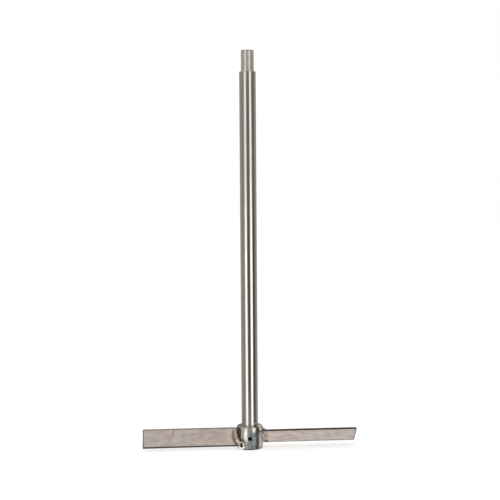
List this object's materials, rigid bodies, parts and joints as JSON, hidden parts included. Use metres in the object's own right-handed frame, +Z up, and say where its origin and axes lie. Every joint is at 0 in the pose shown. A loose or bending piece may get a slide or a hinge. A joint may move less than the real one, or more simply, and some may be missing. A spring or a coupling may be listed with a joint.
{
  "type": "drill paint mixer",
  "caption": "Stainless steel drill mixer for paint: a round shaft with a reduced chuck shank, and a collar held by a set screw that carries flat pitched blades, welded on.",
  "frame": {"origin": "on the shaft's axis, level with the collar's base and the shaft's foot", "axes": "+Z up the shaft to the chuck shank, blades along X, set screw at the front towards -Y"},
  "size_m": [0.208, 0.0256, 0.3854],
  "materials": {
    "shaft_steel": "bright drawn and polished lengthwise, tumbled matt on the turned shank",
    "collar_steel": "turned bright, cloudy from handling and weld heat",
    "blade_steel": "cold rolled, satin",
    "weld_metal": "as welded, rippled, with straw and brown heat tint",
    "screw_steel": "black oxide"
  },
  "bodies": {
    "shaft": {"shaft": "shaft_steel"},
    "impeller": {"collar": "collar_steel", "blade_left": "blade_steel", "blade_right": "blade_steel", "weld_left_upper": "weld_metal", "weld_left_lower": "weld_metal", "weld_right_upper": "weld_metal", "weld_right_lower": "weld_metal"},
    "set_screw": {"set_screw": "screw_steel"}
  },
  "joints": [
    {"name": "impeller_slide", "type": "slide", "parent": "shaft", "child": "impeller", "axis": [0, 0, 1], "range_m": [0, 0.343]},
    {"name": "set_screw_travel", "type": "slide", "parent": "impeller", "child": "set_screw", "axis": [-0.0872, -0.9962, 0], "range_m": [0, 0.006]}
  ]
}
